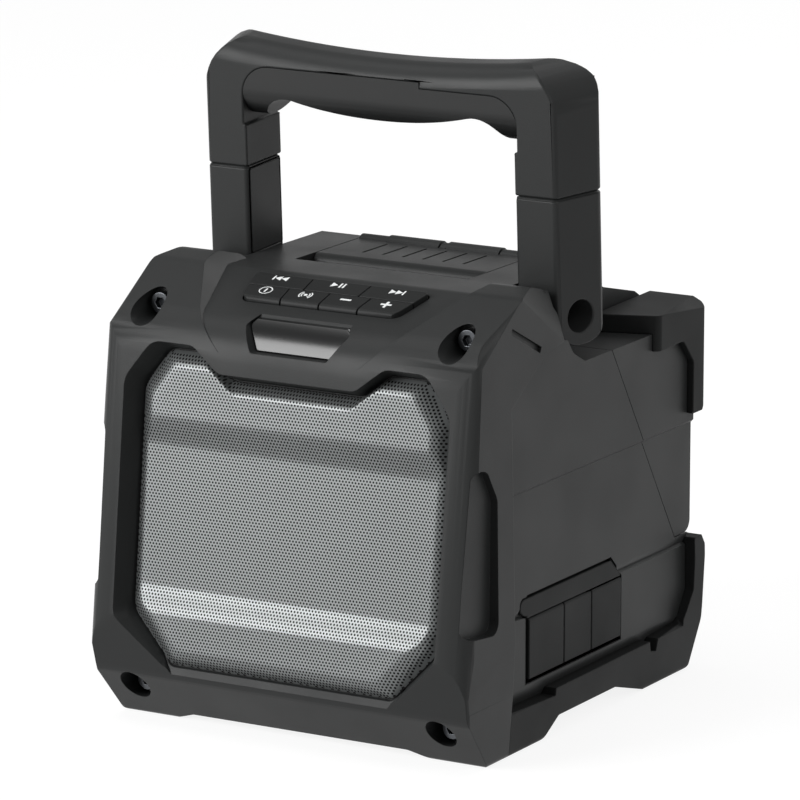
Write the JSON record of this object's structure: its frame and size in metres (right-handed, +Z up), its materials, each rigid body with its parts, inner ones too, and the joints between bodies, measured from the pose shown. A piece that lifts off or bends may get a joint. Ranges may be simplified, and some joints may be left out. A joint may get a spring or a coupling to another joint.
{
  "type": "bluetooth speaker",
  "caption": "Rugged portable bluetooth speaker with a perforated front grille, sloping control deck, folding carry handle and a latched battery lid at the back.",
  "frame": {"origin": "under the middle of the body, on the plane the feet stand on", "axes": "+Z up, +X to the side with the ports, the front grille faces -Y"},
  "size_m": [0.174, 0.2, 0.267],
  "materials": {
    "charcoal_plastic": "fine moulded texture, satin",
    "black_rubber": "matt soft moulding",
    "grille_steel": "perforated sheet, clear coated",
    "plated_steel": "plated",
    "black_steel": "black oxide",
    "ferrite": "ground ferrite and plate",
    "smoked_window": "polished, smoked",
    "circuit_board": "solder mask",
    "cone_paper": "coated paper",
    "spider_cloth": "resin-dipped cloth",
    "copper_coil": "enamelled wire",
    "tweeter_metal": "anodised"
  },
  "bodies": {
    "base": {"front_cover": "charcoal_plastic", "main_housing": "charcoal_plastic", "battery_tray": "charcoal_plastic", "baffle": "charcoal_plastic", "port_panel": "charcoal_plastic", "battery_rail_wide": "charcoal_plastic", "battery_rail_narrow": "charcoal_plastic", "audio_jack": "charcoal_plastic", "power_jack": "charcoal_plastic", "side_skid_left": "black_rubber", "side_skid_right": "black_rubber", "grille_gasket": "black_rubber", "port_strip": "black_rubber", "woofer_surround": "black_rubber", "grille": "grille_steel", "pivot_bolts": "plated_steel", "lid_hinge_pin": "plated_steel", "usb_socket": "plated_steel", "front_screws": "black_steel", "woofer_basket": "black_steel", "woofer_magnet": "ferrite", "display_window": "smoked_window", "keypad_board": "circuit_board", "main_board": "circuit_board", "woofer_spider": "spider_cloth", "tweeter_body": "tweeter_metal", "tweeter_dome": "tweeter_metal"},
    "handle": {"handle_bow": "charcoal_plastic", "handle_grip": "black_rubber", "handle_arm_left": "charcoal_plastic", "handle_arm_right": "charcoal_plastic", "arm_cap_left": "charcoal_plastic", "arm_cap_right": "charcoal_plastic"},
    "lid": {"battery_lid": "charcoal_plastic", "lid_bumper_left": "black_rubber", "lid_bumper_right": "black_rubber", "latch_pin": "plated_steel"},
    "latch": {"latch_lever": "charcoal_plastic"},
    "cone": {"woofer_cone": "cone_paper", "dust_cap": "cone_paper", "voice_coil": "copper_coil"},
    "key_power": {"key_power": "charcoal_plastic"},
    "key_pairing": {"key_pairing": "charcoal_plastic"},
    "key_volume_down": {"key_volume_down": "charcoal_plastic"},
    "key_volume_up": {"key_volume_up": "charcoal_plastic"},
    "key_previous": {"key_previous": "charcoal_plastic"},
    "key_play_pause": {"key_play_pause": "charcoal_plastic"},
    "key_next": {"key_next": "charcoal_plastic"},
    "flap_usb": {"port_flap_usb": "black_rubber"},
    "flap_audio": {"port_flap_audio": "black_rubber"},
    "flap_power": {"port_flap_power": "black_rubber"}
  },
  "joints": [
    {"name": "handle_fold", "type": "hinge", "parent": "base", "child": "handle", "pos_m": [0, -0.002, 0.166], "axis": [-1, 0, 0], "range_deg": [0, 80]},
    {"name": "lid_open", "type": "hinge", "parent": "base", "child": "lid", "pos_m": [0, 0.089, 0.0635], "axis": [-1, 0, 0], "range_deg": [0, 85]},
    {"name": "latch_lift", "type": "hinge", "parent": "lid", "child": "latch", "pos_m": [0, 0.0375, 0.1756], "axis": [-1, 0, 0], "range_deg": [0, 100]},
    {"name": "cone_stroke", "type": "slide", "parent": "base", "child": "cone", "axis": [0, -0.993, 0.1184], "range_m": [-0.0025, 0.0025], "stiffness_N_per_m": 1200},
    {"name": "key_power_press", "type": "slide", "parent": "base", "child": "key_power", "axis": [0, 0.284, -0.9588], "range_m": [0, 0.001], "stiffness_N_per_m": 300},
    {"name": "key_pairing_press", "type": "slide", "parent": "base", "child": "key_pairing", "axis": [0, 0.284, -0.9588], "range_m": [0, 0.001], "stiffness_N_per_m": 300},
    {"name": "key_volume_down_press", "type": "slide", "parent": "base", "child": "key_volume_down", "axis": [0, 0.284, -0.9588], "range_m": [0, 0.001], "stiffness_N_per_m": 300},
    {"name": "key_volume_up_press", "type": "slide", "parent": "base", "child": "key_volume_up", "axis": [0, 0.284, -0.9588], "range_m": [0, 0.001], "stiffness_N_per_m": 300},
    {"name": "key_previous_press", "type": "slide", "parent": "base", "child": "key_previous", "axis": [0, 0.284, -0.9588], "range_m": [0, 0.001], "stiffness_N_per_m": 300},
    {"name": "key_play_pause_press", "type": "slide", "parent": "base", "child": "key_play_pause", "axis": [0, 0.284, -0.9588], "range_m": [0, 0.001], "stiffness_N_per_m": 300},
    {"name": "key_next_press", "type": "slide", "parent": "base", "child": "key_next", "axis": [0, 0.284, -0.9588], "range_m": [0, 0.001], "stiffness_N_per_m": 300},
    {"name": "flap_usb_open", "type": "hinge", "parent": "base", "child": "flap_usb", "pos_m": [0.0813, -0.0268, 0.0507], "axis": [0, -1, 0], "range_deg": [0, 90]},
    {"name": "flap_audio_open", "type": "hinge", "parent": "base", "child": "flap_audio", "pos_m": [0.0813, -0.0011, 0.0507], "axis": [0, -1, 0], "range_deg": [0, 90]},
    {"name": "flap_power_open", "type": "hinge", "parent": "base", "child": "flap_power", "pos_m": [0.0813, 0.0228, 0.0507], "axis": [0, -1, 0], "range_deg": [0, 90]}
  ]
}
